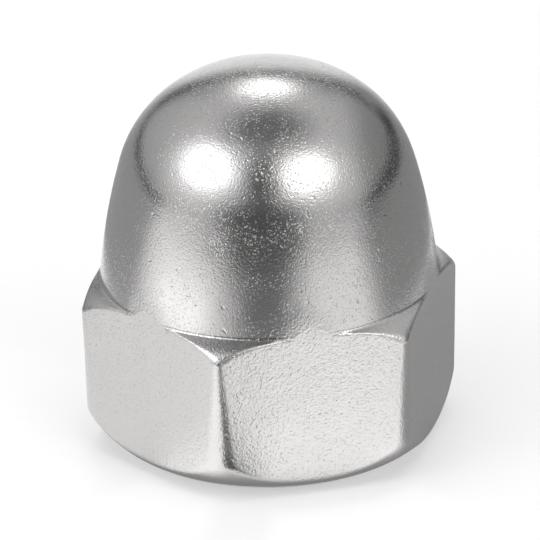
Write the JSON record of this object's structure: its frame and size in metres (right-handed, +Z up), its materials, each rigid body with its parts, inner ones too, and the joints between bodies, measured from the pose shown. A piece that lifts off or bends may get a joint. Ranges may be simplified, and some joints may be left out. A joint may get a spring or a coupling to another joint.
{
  "type": "domed cap nut",
  "caption": "One-piece domed cap nut: hexagon with flats, rounded corners and a curved foot chamfer, a smooth ogive dome above, and a blind threaded hole from below.",
  "frame": {"origin": "centre of the bearing face, on the thread's axis", "axes": "+Z up the thread's axis to the crown of the dome; two flats of the hexagon face +Y and -Y, two corners point along +X and -X"},
  "size_m": [0.0148, 0.013, 0.015],
  "materials": {
    "stainless_steel": "tumbled stainless steel: smooth satin dome, finely pitted matte flats"
  },
  "bodies": {
    "root": {"cap_nut": "stainless_steel"}
  },
  "joints": []
}
